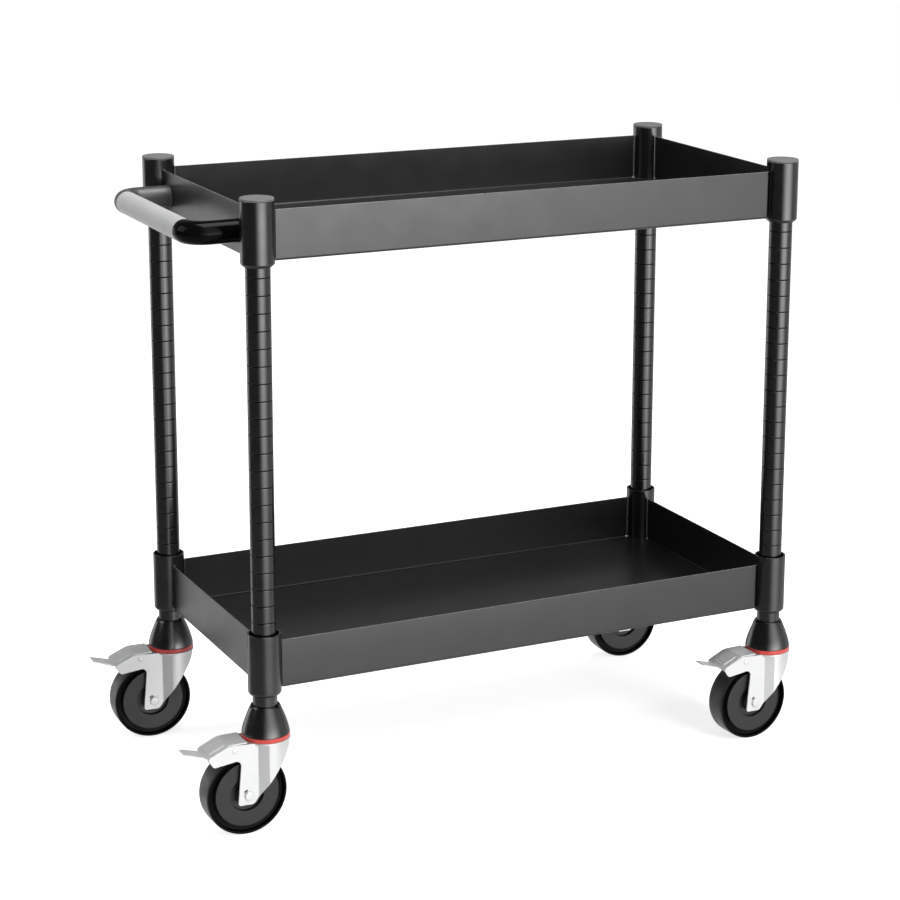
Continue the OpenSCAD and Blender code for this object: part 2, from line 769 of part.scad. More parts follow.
at_caster(BL) axle_sleeve();  // axle_sleeve_bl
at_caster(FL) brake_pin();  // brake_pin_fl
at_caster(FR) brake_pin();  // brake_pin_fr
at_caster(BR) brake_pin();  // brake_pin_br
at_caster(BL) brake_pin();  // brake_pin_bl
at_caster(FL) tyre();  // tyre_fl
at_caster(FR) tyre();  // tyre_fr
at_caster(BR) tyre();  // tyre_br
at_caster(BL) tyre();  // tyre_bl
at_caster(FL) wheel_centre();  // wheel_centre_fl
at_caster(FR) wheel_centre();  // wheel_centre_fr
at_caster(BR) wheel_centre();  // wheel_centre_br
at_caster(BL) wheel_centre();  // wheel_centre_bl
at_caster(FL) wheel_bearing();  // wheel_bearing_fl
at_caster(FR) wheel_bearing();  // wheel_bearing_fr
at_caster(BR) wheel_bearing();  // wheel_bearing_br
at_caster(BL) wheel_bearing();  // wheel_bearing_bl
at_caster(FL) brake_lever();  // brake_lever_fl
at_caster(FR) brake_lever();  // brake_lever_fr
at_caster(BR) brake_lever();  // brake_lever_br
at_caster(BL) brake_lever();  // brake_lever_bl
at_caster(FL) brake_shoe();  // brake_shoe_fl
at_caster(FR) brake_shoe();  // brake_shoe_fr
at_caster(BR) brake_shoe();  // brake_shoe_br
at_caster(BL) brake_shoe();  // brake_shoe_bl
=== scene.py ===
# Looks of the rolling utility cart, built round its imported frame.
# Sizes are in millimetres with +Z up; finish_mesh scales each mesh to the frame's metres. The
# floor, the lamps and the camera are in metres.
import bpy
import bmesh
import json
import math
from mathutils import Matrix, Vector


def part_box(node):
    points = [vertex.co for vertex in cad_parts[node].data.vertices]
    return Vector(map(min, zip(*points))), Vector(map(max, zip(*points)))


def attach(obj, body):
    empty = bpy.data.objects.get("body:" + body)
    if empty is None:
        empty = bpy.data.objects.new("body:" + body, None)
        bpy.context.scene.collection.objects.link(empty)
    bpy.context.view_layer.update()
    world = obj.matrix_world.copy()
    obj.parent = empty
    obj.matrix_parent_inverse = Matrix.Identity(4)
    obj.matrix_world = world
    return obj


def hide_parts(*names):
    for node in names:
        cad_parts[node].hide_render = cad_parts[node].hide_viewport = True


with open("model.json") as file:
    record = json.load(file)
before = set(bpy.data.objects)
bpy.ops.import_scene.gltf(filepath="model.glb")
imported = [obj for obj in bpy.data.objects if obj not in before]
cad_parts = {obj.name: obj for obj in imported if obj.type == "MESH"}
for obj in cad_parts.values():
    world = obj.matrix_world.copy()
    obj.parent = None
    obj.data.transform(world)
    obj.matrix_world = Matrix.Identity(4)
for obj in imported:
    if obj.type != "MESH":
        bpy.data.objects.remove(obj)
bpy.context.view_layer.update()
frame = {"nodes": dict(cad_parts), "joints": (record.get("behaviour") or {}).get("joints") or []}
MM = 0.001

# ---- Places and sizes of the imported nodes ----

CORNERS = ["front_left", "front_right", "back_right", "back_left"]
CASTERS = ["fl", "fr", "br", "bl"]


def node_box(name):
    lo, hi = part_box(name)
    return lo / MM, hi / MM


def node_middle(name):
    lo, hi = node_box(name)
    return (lo + hi) / 2


POSTS = [node_middle("post_" + c) for c in CORNERS]
POST_LOW, POST_TOP = (v.z for v in node_box("post_front_left"))
CAP_TOP = node_box("post_end_caps")[1].z
POST_R, TUBE_WALL, COLLAR_R, COLLAR_BORE_R = 18.0, 1.5, 24.5, 22.1
GROOVE_0, GROOVE_PITCH, GROOVE_W, GROOVE_D = POST_LOW + 35.2, 25.4, 1.2, 0.6
WHEEL_R = 62.5
TRAIL, PIN_X, PIN_Z = 37.0, 58.3, 135.0
CROWN_LOW, CROWN_TOP = 138.0, 141.0
HEAD_TOP = node_box("swivel_heads")[1].z
REST = {j["child"]: j for j in frame["joints"]}


def caster_matrix(tag):
    """Caster's own frame: +X trails behind the swivel axis, +Y is the axle, Z = 0 is the floor."""
    at = Vector(REST["swivel_" + tag]["pos_m"]) / MM
    along = Vector(REST["wheel_" + tag]["axis"])
    trail = Vector((along.y, -along.x, 0))
    m = Matrix.Identity(4)
    for row in range(3):
        m[row][:] = trail[row], along[row], (0, 0, 1)[row], at[row]
    return m


def at_post(at):
    return Matrix.Translation((at.x, at.y, 0))


# ---- Mesh helpers ----

# Points this close (metres) become one in a finished piece.
MERGE = 1e-7
# How far large faces win over small ones in the shading of a rounded edge, from 1 to 100.
FACE_WEIGHT = 80
# A radius below this is a point on the axis.
POINT_R = 1e-6


def as_data(bm, name):
    """Turns a bmesh into mesh data and frees it."""
    me = bpy.data.meshes.new(name)
    bm.to_mesh(me)
    bm.free()
    return me


def to_object(bm, name="helper"):
    o = bpy.data.objects.new(name, as_data(bm, name))
    bpy.context.scene.collection.objects.link(o)
    return o


def finish_mesh(name, bm, mat, body, replaces, sharp, matrix=None):
    """Turns a bmesh in millimetres into a piece that rides on a body.

    Edges of more than `sharp` degrees stay sharp.
    """
    if matrix is not None:
        bm.transform(matrix)
    bm.transform(Matrix.Scale(MM, 4))
    bmesh.ops.remove_doubles(bm, verts=bm.verts, dist=MERGE)
    bmesh.ops.recalc_face_normals(bm, faces=bm.faces)
    limit = math.radians(sharp)
    for f in bm.faces:
        f.smooth = True
    for e in bm.edges:
        e.smooth = len(e.link_faces) == 2 and e.calc_face_angle(0) < limit
    o = to_object(bm, name)
    o.data.materials.append(mat)
    even = o.modifiers.new("even_shading", "WEIGHTED_NORMAL")
    even.keep_sharp, even.weight = True, FACE_WEIGHT
    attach(o, body)
    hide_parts(*replaces)
    return o


def second_material(o, mat, chosen):
    """Gives another material to the faces whose centre is chosen."""
    o.data.materials.append(mat)
    for f in o.data.polygons:
        if chosen(f.center):
            f.material_index = 1


def bevel_edges(o, name, width, segments, angle):
    m = o.modifiers.new(name, "BEVEL")
    m.width, m.segments = width, segments
    m.limit_method, m.angle_limit = "ANGLE", math.radians(angle)
    return m


def arc(cx, cy, r, a0, a1, steps):
    """Points on a circle from one angle in degrees to another."""
    angles = [math.radians(a0 + (a1 - a0) * i / steps) for i in range(steps + 1)]
    return [(cx + r * math.cos(a), cy + r * math.sin(a)) for a in angles]


def rounded(points, closed=True, step=15):
    """Outline through (x, y, radius) corners, each rounded in steps of some degrees."""
    out, n = [], len(points)
    for i, (x, y, r) in enumerate(points):
        at = Vector((x, y))
        if r <= 0 or (not closed and i in (0, n - 1)):
            out.append((x, y))
            continue
        a = (Vector(points[i - 1][:2]) - at).normalized()
        b = (Vector(points[(i + 1) % n][:2]) - at).normalized()
        half = math.acos(max(-1, min(1, a.dot(b)))) / 2
        centre = at + (a + b).normalized() * r / math.sin(half)
        start, end = at + a * r / math.tan(half), at + b * r / math.tan(half)
        a0 = math.atan2(start.y - centre.y, start.x - centre.x)
        a1 = math.atan2(end.y - centre.y, end.x - centre.x)
        turn = (a1 - a0 + math.pi) % (2 * math.pi) - math.pi
        steps = max(2, math.ceil(abs(math.degrees(turn)) / step))
        out += [(centre.x + r * math.cos(a0 + turn * k / steps),
                 centre.y + r * math.sin(a0 + turn * k / steps)) for k in range(steps + 1)]
    return out


def unit_circle(seg):
    return [(math.cos(2 * math.pi * k / seg), math.sin(2 * math.pi * k / seg)) for k in range(seg)]


def skin(bm, pairs, seg):
    """Joins each pair of rings with quads, or with triangles where a ring is one point."""
    for a, b in pairs:
        for k in range(seg):
            q = [a[k % len(a)], a[(k + 1) % len(a)], b[(k + 1) % len(b)], b[k % len(b)]]
            q = [v for i, v in enumerate(q) if v not in q[:i]]
            if len(q) > 2:
                bm.faces.new(q)


def lathe(bm, profile, matrix=None, seg=96, closed=True):
    """Turns a (radius, height) profile about Z; a point on the axis is one vertex."""
    rings = []
    for r, z in profile:
        if r < POINT_R:
            rings.append([bm.verts.new((0, 0, z))])
        else:
            rings.append([bm.verts.new((r * c, r * s, z)) for c, s in unit_circle(seg)])
    skin(bm, list(zip(rings, rings[1:])) + ([(rings[-1], rings[0])] if closed else []), seg)
    if matrix is not None:
        bmesh.ops.transform(bm, matrix=matrix, verts=[v for ring in rings for v in ring])


def prism(bm, outline, low, high, matrix=None):
    """Extrudes a closed outline from one height to another."""
    a = [bm.verts.new((x, y, low)) for x, y in outline]
    b = [bm.verts.new((x, y, high)) for x, y in outline]
    n = len(outline)
    faces = [bm.faces.new(a[::-1]), bm.faces.new(b)]
    faces += [bm.faces.new((a[i], a[(i + 1) % n], b[(i + 1) % n], b[i])) for i in range(n)]
    bmesh.ops.recalc_face_normals(bm, faces=faces)
    if matrix is not None:
        bmesh.ops.transform(bm, matrix=matrix, verts=a + b)


def sweep(bm, path, radii, seg):
    """Round tube along a level path, with closed ends where a radius is 0."""
    up = Vector((0, 0, 1))
    rings = []
    last = len(path) - 1
    for i, (p, r) in enumerate(zip(path, radii)):
        if r < POINT_R:
            rings.append([bm.verts.new(p)])
            continue
        t = path[min(i + 1, last)] - path[max(i - 1, 0)]
        side = t.normalized().cross(up).normalized()
        rings.append([bm.verts.new(p + r * (c * side + s * up)) for c, s in unit_circle(seg)])
    skin(bm, zip(rings, rings[1:]), seg)


def combine(base, cutters, bevel=0.0):
    """Applies (operation, bmesh) booleans and a bevel to a bmesh, and gives a new bmesh."""
    o = to_object(base)
    helpers = [o]
    for how, bm in cutters:
        cutter = to_object(bm)
        helpers.append(cutter)
        m = o.modifiers.new("boolean", "BOOLEAN")
        m.operation, m.object, m.solver = how, cutter, "EXACT"
    if bevel:
        o.modifiers.new("weld", "WELD").merge_threshold = 0.01
        bevel_edges(o, "bevel", bevel, 2, 40).miter_outer = "MITER_ARC"
    dg = bpy.context.evaluated_depsgraph_get()
    dg.update()
    out = bmesh.new()
    out.from_mesh(bpy.data.meshes.new_from_object(o.evaluated_get(dg)))
    for helper in helpers:
        bpy.data.objects.remove(helper)
    return out


# ---- Node helpers and materials ----

class Tree:
    """Short calls that build a node tree from empty."""

    def __init__(self, owner):
        owner.use_nodes = True
        self.nodes, self.links = owner.node_tree.nodes, owner.node_tree.links
        self.nodes.clear()

    def node(self, kind):
        return self.nodes.new("ShaderNode" + kind)

    def put(self, socket, value):
        """Links another socket, or sets a plain number or colour."""
        if isinstance(value, bpy.types.NodeSocket):
            self.links.new(value, socket)
        else:
            socket.default_value = value

    def math(self, how, *values):
        n = self.node("Math")
        n.operation = how
        for socket, v in zip(n.inputs, values):
            self.put(socket, v)
        return n.outputs[0]

    def product(self, first, *others):
        for other in others:
            first = self.math("MULTIPLY", first, other)
        return first

    def ranged(self, value, lo, hi, to_lo, to_hi, kind="LINEAR"):
        n = self.node("MapRange")
        n.interpolation_type = kind
        for key, v in (("Value", value), ("From Min", lo), ("From Max", hi), ("To Min", to_lo),
                       ("To Max", to_hi)):
            self.put(n.inputs[key], v)
        return n.outputs["Result"]

    def fade(self, value, lo, hi, to_lo, to_hi):
        return self.ranged(value, lo, hi, to_lo, to_hi, "SMOOTHSTEP")

    def noise(self, at, scale, detail, rough=0.55):
        n = self.node("TexNoise")
        for key, v in (("Vector", at), ("Scale", scale), ("Detail", detail), ("Roughness", rough)):
            self.put(n.inputs[key], v)
        return n.outputs["Fac"]

    def mix(self, share, a, b):
        """Blends two colours; 6, 7 and 2 are the colour sockets of a Mix node."""
        n = self.node("Mix")
        n.data_type = "RGBA"
        self.put(n.inputs["Factor"], share)
        self.put(n.inputs[6], a)
        self.put(n.inputs[7], b)
        return n.outputs[2]

    def bump(self, height, strength, distance, normal=None):
        n = self.node("Bump")
        for key, v in (("Height", height), ("Strength", strength), ("Distance", distance)):
            self.put(n.inputs[key], v)
        if normal is not None:
            self.put(n.inputs["Normal"], normal)
        return n.outputs[0]


# Noise values between these two spread over the whole range of a colour or a roughness.
NOISE_LOW, NOISE_HIGH = 0.3, 0.7
# Dust: size of the specks, the noise values where they start and are full, and how much paler
# they are than the colour under them.
DUST_SCALE, DUST_START, DUST_FULL, DUST_GAIN, DUST_LIFT = 260, 0.62, 0.8, 1.6, 0.02
# Painted edge highlight: radius in metres, cosines of the turn where it starts and is full, and
# its share.
EDGE_GLINT_R, EDGE_GLINT_START, EDGE_GLINT_FULL, EDGE_GLINT_SHARE = 0.0008, 0.995, 0.9, 0.6
STREAK_STRENGTH, COAT_ROUGH = 0.7, 0.1


def tinted(colour, gain, lift=0.0):
    return (*(min(1, c * gain + lift) for c in colour), 1)


def material(name, colour, rough, metal=0.0, level=0.5, ior=1.5, coat=0.0,
             grain=(900, 0.6, 0.00002), mottle=(14, 0.15), rough_vary=(40, 0.06), streak=None,
             edge=None, dust=0.0):
    """Node material with mottled colour, varied roughness and a fine bump grain.

    grain: (scale, strength, height in m); mottle: (scale, share of colour);
    rough_vary: (scale, amount); streak: (scale on each axis, height in m, roughness share) of
    rolled or brushed marks; edge: colour of a painted edge highlight; dust: share of pale specks.
    """
    mat = bpy.data.materials.new(name)
    tree = Tree(mat)
    shader = tree.node("BsdfPrincipled")
    tree.put(tree.node("OutputMaterial").inputs[0], shader.outputs[0])
    for key, v in (("Metallic", metal), ("Specular IOR Level", level), ("IOR", ior),
                   ("Coat Weight", coat), ("Coat Roughness", COAT_ROUGH)):
        shader.inputs[key].default_value = v
    at = tree.node("TexCoord").outputs["Object"]

    scale, share = mottle
    blotch = tree.ranged(tree.noise(at, scale, 4), NOISE_LOW, NOISE_HIGH, 0, 1)
    colours = tree.mix(blotch, tinted(colour, 1 - share), tinted(colour, 1 + share))
    if dust:
        specks = tree.ranged(tree.noise(at, DUST_SCALE, 2), DUST_START, DUST_FULL, 0, dust)
        colours = tree.mix(specks, colours, tinted(colour, DUST_GAIN, DUST_LIFT))
    if edge:
        # Painted highlight: the edge colour is laid on every sharp edge and stands in for the
        # light an edge catches.
        # The bevelled normal leaves the true one only near an edge.
        bevel = tree.node("Bevel")
        bevel.samples = 4
        bevel.inputs["Radius"].default_value = EDGE_GLINT_R
        dot = tree.node("VectorMath")
        dot.operation = "DOT_PRODUCT"
        tree.put(dot.inputs[0], bevel.outputs[0])
        tree.put(dot.inputs[1], tree.node("NewGeometry").outputs["Normal"])
        edge_glint = tree.ranged(dot.outputs["Value"], EDGE_GLINT_START, EDGE_GLINT_FULL, 0, EDGE_GLINT_SHARE)
        colours = tree.mix(edge_glint, colours, (*edge, 1))
    tree.put(shader.inputs["Base Color"], colours)

    scale, amount = rough_vary
    roughness = tree.ranged(tree.noise(at, scale, 3), NOISE_LOW, NOISE_HIGH,
                            max(0.02, rough - amount), min(1, rough + amount))
    scale, strength, height = grain
    normal = tree.bump(tree.noise(at, scale, 3), strength, height)
    if streak:
        scales, height, share = streak
        stretch = tree.node("Mapping")
        stretch.inputs["Scale"].default_value = scales
        tree.put(stretch.inputs["Vector"], at)
        marks = tree.noise(stretch.outputs[0], 1.0, 4, 0.7)
        normal = tree.bump(marks, STREAK_STRENGTH, height, normal)
        roughness = tree.math("MULTIPLY_ADD", marks, share, roughness)
    tree.put(shader.inputs["Roughness"], roughness)
    tree.put(shader.inputs["Normal"], normal)
    return mat


# The trays' pale edge colour is a painted highlight along the sheet's edges and wall ends.
TRAY = material("tray_powder_coat", (0.005, 0.0051, 0.0052), 0.31, ior=1.64,
                grain=(1100, 0.35, 0.00005), mottle=(6, 0.06), rough_vary=(25, 0.03), dust=0.25,
                edge=(0.7, 0.7, 0.7))
POST = material("post_powder_coat", (0.004, 0.0041, 0.0042), 0.22, level=0.85,
                grain=(1200, 0.3, 0.00004), mottle=(8, 0.1), rough_vary=(30, 0.04))
COLLAR = material("collar_powder_coat", (0.004, 0.0041, 0.0042), 0.22, level=0.85,
                  grain=(1200, 0.3, 0.00004), mottle=(10, 0.1), rough_vary=(30, 0.04))
CAP = material("cap_moulded", (0.13, 0.131, 0.133), 0.5, grain=(1500, 0.3, 0.00005),
               mottle=(12, 0.1))
COVER = material("cover_moulded", (0.004, 0.004, 0.0042), 0.24, level=0.9,
                 grain=(1600, 0.3, 0.00003), mottle=(12, 0.12), rough_vary=(50, 0.05))
SLEEVE = material("sleeve_moulded", (0.02, 0.02, 0.021), 0.5, grain=(1400, 0.3, 0.00004))
# Painted light: the two elbows are one moulding in two copies, a dark one with its reflection
# turned down for the front and a paler one for the rear.
ELBOW_SHADED = material("elbow_gloss", (0.003, 0.003, 0.0031), 0.1, level=0.06,
                 grain=(60, 0.2, 0.00003), mottle=(10, 0.1), rough_vary=(60, 0.02))
ELBOW_LIT = material("elbow_painted_light", (0.045, 0.045, 0.046), 0.42, level=0.7,
                      grain=(900, 0.3, 0.00004), mottle=(10, 0.1), rough_vary=(60, 0.03))
GRIP = material("grip_grey", (0.42, 0.423, 0.428), 0.5, grain=(1300, 0.3, 0.00006),
                mottle=(9, 0.05), rough_vary=(40, 0.05))
ZINC = material("zinc_plate", (0.68, 0.685, 0.69), 0.38, metal=0.4, grain=(500, 0.1, 0.00001),
                mottle=(30, 0.02), rough_vary=(60, 0.04), streak=((90, 90, 900), 0.000002, 0.04))
LEVER = material("lever_zinc", (0.66, 0.665, 0.67), 0.36, metal=0.5, grain=(500, 0.1, 0.00001),
                 mottle=(30, 0.04), rough_vary=(60, 0.05), streak=((80, 700, 80), 0.000002, 0.05))
STEEL = material("plain_steel", (0.5, 0.505, 0.51), 0.32, metal=1.0, grain=(600, 0.2, 0.00002),
                 streak=((700, 700, 60), 0.00001, 0.08))
BRASS = material("insert_brass", (0.62, 0.47, 0.2), 0.3, metal=1.0, grain=(600, 0.2, 0.00002))
RUBBER = material("expander_rubber", (0.02, 0.02, 0.02), 0.7, grain=(700, 0.3, 0.0001))
SEAL = material("seal_red", (0.66, 0.07, 0.055), 0.32, coat=0.2, grain=(900, 0.2, 0.00003),
                mottle=(60, 0.12))
TYRE = material("tyre_black", (0.02, 0.02, 0.0205), 0.4, grain=(900, 0.3, 0.00008),
                mottle=(25, 0.2), rough_vary=(60, 0.08), dust=0.3)
# Painted shade: deep black with almost no reflection for what lies in a groove, the posts' rings
# and the sides of the tyres.
GROOVE_SHADE = material("groove_painted_shade", (0.0015, 0.0015, 0.0016), 0.4, level=0.06,
                  grain=(500, 0.2, 0.00002))
DISC = material("wheel_disc", (0.01, 0.0102, 0.0104), 0.42, level=0.4,
                grain=(1000, 0.3, 0.00006), mottle=(30, 0.15), rough_vary=(50, 0.07), dust=0.2)

# ---- Posts, caps and collars ----

# Rounding of the tube's ends, plain tube kept above the last groove, and the depth from which a
# groove's faces get the painted groove shade.
POST_EDGE, POST_PLAIN, GROOVE_SHADE_DEPTH = 0.3, 5, 0.12
# Half of a groove from its middle out: (depth, distance past the groove's half width).
GROOVE_SIDE = [(GROOVE_D, -0.3), (GROOVE_D - 0.1, -0.12), (0.1, 0.1), (0, 0.35), (0, 1.2)]


def post_profile():
    """Outer face of the tube with its ring grooves, from the foot to the head."""
    pts = [(POST_R - TUBE_WALL, POST_LOW), (POST_R - POST_EDGE, POST_LOW),
           (POST_R, POST_LOW + POST_EDGE)]
    z = GROOVE_0
    while z < POST_TOP - POST_PLAIN:
        half = GROOVE_W / 2
        pts += [(POST_R - depth, z - half - out) for depth, out in GROOVE_SIDE[::-1]]
        pts += [(POST_R - depth, z + half + out) for depth, out in GROOVE_SIDE]
        z += GROOVE_PITCH
    return pts + [(POST_R, POST_TOP - POST_EDGE), (POST_R - POST_EDGE, POST_TOP),
                  (POST_R - TUBE_WALL, POST_TOP)]


for corner, at in zip(CORNERS, POSTS):
    bm = bmesh.new()
    lathe(bm, post_profile(), at_post(at), seg=64)
    tube = finish_mesh("post_tube_" + corner, bm, POST, "frame", ["post_" + corner],
                       sharp=60)
    # Painted shade: the groove faces below the tube's face are deep black.
    second_material(tube, GROOVE_SHADE, lambda c: (
        (c.xy - at.xy * MM).length < (POST_R - GROOVE_SHADE_DEPTH) * MM
        and POST_LOW + POST_PLAIN < c.z / MM < POST_TOP - POST_PLAIN))

# A cap's head is as wide as a collar and rests on the tube; a short plug reaches into the tube.
cap_h, plug_r, plug_l, seat = CAP_TOP - POST_TOP, 16, 2, 0.15
cap_outline = rounded([(0, -plug_l, 0), (plug_r, -plug_l, 0), (plug_r, seat, 0),
                       (COLLAR_R, seat, 0.7), (COLLAR_R, cap_h, 1.3), (COLLAR_R - 5, cap_h, 0),
                       (0, cap_h, 0)], closed=False)
bm = bmesh.new()
for at in POSTS:
    lathe(bm, [(r, POST_TOP + h) for r, h in cap_outline], at_post(at), closed=False)
finish_mesh("post_cap_set", bm, CAP, "frame", ["post_end_caps"], sharp=50)

for level in ("upper", "lower"):
    lo, hi = node_box(level + "_collars")
    outline = rounded([(COLLAR_BORE_R, lo.z, 0.5), (COLLAR_R, lo.z, 3.6), (COLLAR_R, hi.z, 0.7),
                       (COLLAR_BORE_R, hi.z, 0.7)], step=12)
    bm = bmesh.new()
    for at in POSTS:
        lathe(bm, outline, at_post(at))
    finish_mesh(level + "_collar_set", bm, COLLAR, "frame", [level + "_collars"],
                sharp=50)

# ---- Trays ----

BEND_R, SHEET_T, RETURN_R, RETURN_L, EDGE_R = 3.5, 2.0, 3.5, 0.5, 0.5
# How far the posts' axes lie inside the trays' walls.
POST_INSET = 2.5
CUT_R = COLLAR_R + 0.05
BEND_STEPS = 6


def tray(level):
    """Folded sheet: floor with round cut-outs at the collars, bends, walls and wall ends."""
    lo, hi = node_box(level + "_tray")
    mid, half = (lo + hi) / 2, (hi - lo) / 2
    z0, z1 = lo.z, hi.z
    bm = bmesh.new()
    floor = []
    # Round the four sides: front, right, back, left.
    for turn in (0, 90, 180, 270):
        reach, length = (half.y, half.x) if turn % 180 == 0 else (half.x, half.y)
        span = length - POST_INSET - CUT_R - RETURN_R
        at = Matrix.Translation((mid.x, mid.y, 0)) @ Matrix.Rotation(math.radians(turn), 4, "Z")

        def vert(x, inward, z):
            return bm.verts.new(at @ Vector((x, inward - reach, z)))

        section = arc(BEND_R, z0 + BEND_R, BEND_R, 270, 180, BEND_STEPS) + [(0, z1)]
        left, right = ([vert(x, n, z) for n, z in section] for x in (-span, span))
        for i in range(len(section) - 1):
            bm.faces.new((left[i], right[i], right[i + 1], left[i + 1]))
        for sign in (-1, 1):
            plan = arc(0, RETURN_R, RETURN_R, 270, 360, BEND_STEPS)
            plan.append((RETURN_R, RETURN_R + RETURN_L))
            columns = [(vert(sign * (span + x), n, z0 + BEND_R), vert(sign * (span + x), n, z1))
                       for x, n in plan]
            for (low, high), (next_low, next_high) in zip(columns, columns[1:]):
                quad = (low, next_low, next_high, high)
                bm.faces.new(quad if sign > 0 else quad[::-1])
        floor += [at @ Vector((x, BEND_R - reach, z0)) for x in (-span, span)]
        # The cut-out at this side's right end runs from the collar's front to its inner side.
        post = Vector((length - POST_INSET, POST_INSET - reach, z0))
        for x, y in arc(post.x, post.y, CUT_R, 190, 80, 22):
            if y > BEND_R - reach and x < length - BEND_R:
                floor.append(at @ Vector((x, y, z0)))
    bm.faces.new([bm.verts.new(p) for p in floor])
    bmesh.ops.remove_doubles(bm, verts=bm.verts, dist=0.01)
    o = finish_mesh(level + "_tray_sheet", bm, TRAY, "frame", [level + "_tray"],
                    sharp=40)
    # The outer side faces out, so that the sheet thickens inwards.
    lowest = min(o.data.polygons, key=lambda f: f.center.z)
    if lowest.normal.z > 0:
        o.data.flip_normals()
    m = o.modifiers.new("thickness", "SOLIDIFY")
    m.thickness, m.offset, m.use_even_offset = SHEET_T * MM, -1, True
    bevel_edges(o, "edges", EDGE_R * MM, 3, 50).harden_normals = True


for level in ("upper", "lower"):
    tray(level)

# ---- Handle ----

grip_lo, grip_hi = node_box("handle_grip")
elbow_lo, elbow_hi = node_box("handle_elbow_front")
GRIP_R = (grip_hi.z - grip_lo.z) / 2
GRIP_X, GRIP_HALF = grip_lo.x + GRIP_R, grip_hi.y
HANDLE_Z = node_middle("handle_grip").z
FLANGE_R = (elbow_hi.z - elbow_lo.z) / 2
ELBOW_R = FLANGE_R - 0.8
ARM_Y = -elbow_lo.y - FLANGE_R
TRAY_LEFT = node_box("lower_tray")[0].x
CORE_R, BEND, GRIP_SEAM, FLANGE_T, ARM_STEPS = 12.1, 27.0, 33.0, 2.7, 6
# Foot of an arm: (distance from the tray, radius past the arm's own).
FLANGE = ((0, 0.1), (0.25, 0.6), (0.8, 0.8), (1.5, 0.75), (1.9, 0.5), (2.1, 0.05), (FLANGE_T, 0))
# End of an elbow: (distance from the grip, radius short of the arm's own).
ELBOW_END = ((1.3, 0), (0.9, 0.02), (0.45, 0.25), (0.15, 0.7), (0.05, ELBOW_R - CORE_R))


def elbow_stations():
    """(x, distance from the middle, radius) along one elbow, from the tray to the grip."""
    stations = [(TRAY_LEFT, ARM_Y, 0)]
    stations += [(TRAY_LEFT - x, ARM_Y, ELBOW_R + over) for x, over in FLANGE]
    arm_start, arm_end = TRAY_LEFT - FLANGE_T, GRIP_X + BEND
    stations += [(arm_start + (arm_end - arm_start) * k / ARM_STEPS, ARM_Y, ELBOW_R)
                 for k in range(1, ARM_STEPS)]
    stations += [(x, y, ELBOW_R) for x, y in arc(GRIP_X + BEND, ARM_Y - BEND, BEND, 90, 180, 15)]
    return stations + [(GRIP_X, GRIP_HALF + y, ELBOW_R - under) for y, under in ELBOW_END]


# The front elbow takes the painted-shade copy and the rear one the painted-light copy.
for name, side, mat in (("front", -1, ELBOW_SHADED), ("rear", 1, ELBOW_LIT)):
    stations = elbow_stations()
    bm = bmesh.new()
    sweep(bm, [Vector((x, side * y, HANDLE_Z)) for x, y, _ in stations],
          [r for _, _, r in stations], seg=64)
    finish_mesh("handle_elbow_" + name + "_moulding", bm, mat, "frame", ["handle_elbow_" + name],
                sharp=50)

# Half of the grip from its end to just past the seam: (radius, distance from the middle).
r, g, seam = GRIP_R, GRIP_HALF, GRIP_HALF - GRIP_SEAM
half_grip = [(CORE_R, g), (r - 1.1, g), (r - 0.4, g - 0.25), (r, g - 0.9), (r, g - 8),
             (r, seam + 2), (r, seam + 1.1), (r - 0.15, seam + 0.75), (r - 0.6, seam + 0.45),
             (r - 0.6, seam - 0.45), (r - 0.15, seam - 0.75), (r, seam - 1.1), (r, seam - 2)]
outline = half_grip + [(r, seam * k / 6) for k in range(4, -5, -1)]
outline += [(radius, -h) for radius, h in half_grip[::-1]]
along_y = Matrix.Rotation(math.radians(-90), 4, "X")
bm = bmesh.new()
lathe(bm, outline, Matrix.Translation((GRIP_X, 0, HANDLE_Z)) @ along_y, seg=72)
finish_mesh("handle_grip_sleeve", bm, GRIP, "frame", ["handle_grip"], sharp=60)

# ---- Bell covers and seals ----

COVER_H = node_box("caster_covers")[1].z - HEAD_TOP
FOOT_R, TOP_R, COVER_T = 35.5, 21.5, 2.5
NECK_R, NECK_H, STEM_HOLE_R, ROOF_T = 18.3, 8, 12, 3
NOTCH_TURNS, NOTCH_W, NOTCH_H = (60, 180, 300), 4, 2.5
SEAL_R, SEAL_BORE_R = 35.5, 33.05


def cover_r(share):
    """Outer radius of the bell at a share of its height."""
    return TOP_R + (FOOT_R - TOP_R) * (1 - share ** 1.35)


def cover_mesh():
    """Bell with a socket for the post and three notches in its top rim."""
    roof = COVER_H - NECK_H - ROOF_T
    outer = [(cover_r(0) - 0.5, 0), (cover_r(0) - 0.1, 0.35)]
    outer += [(cover_r(i / 24), COVER_H * i / 24) for i in range(1, 24)]
    outer += [(TOP_R + 0.1, COVER_H - 0.5), (TOP_R - 0.4, COVER_H)]
    inner = [(NECK_R, COVER_H), (NECK_R, COVER_H - NECK_H), (STEM_HOLE_R, COVER_H - NECK_H),
             (STEM_HOLE_R, roof)]
    inner += [(cover_r(roof * i / 12 / COVER_H) - COVER_T, roof * i / 12)
              for i in range(12, -1, -1)]
    bell, notches = bmesh.new(), bmesh.new()
    lathe(bell, outer + inner)
    half, out = NOTCH_W / 2, FOOT_R + 5
    for turn in NOTCH_TURNS:
        prism(notches, [(0, -half), (out, -half), (out, half), (0, half)], COVER_H - NOTCH_H,
              COVER_H + 3, Matrix.Rotation(math.radians(turn), 4, "Z"))
    return combine(bell, [("DIFFERENCE", notches)])


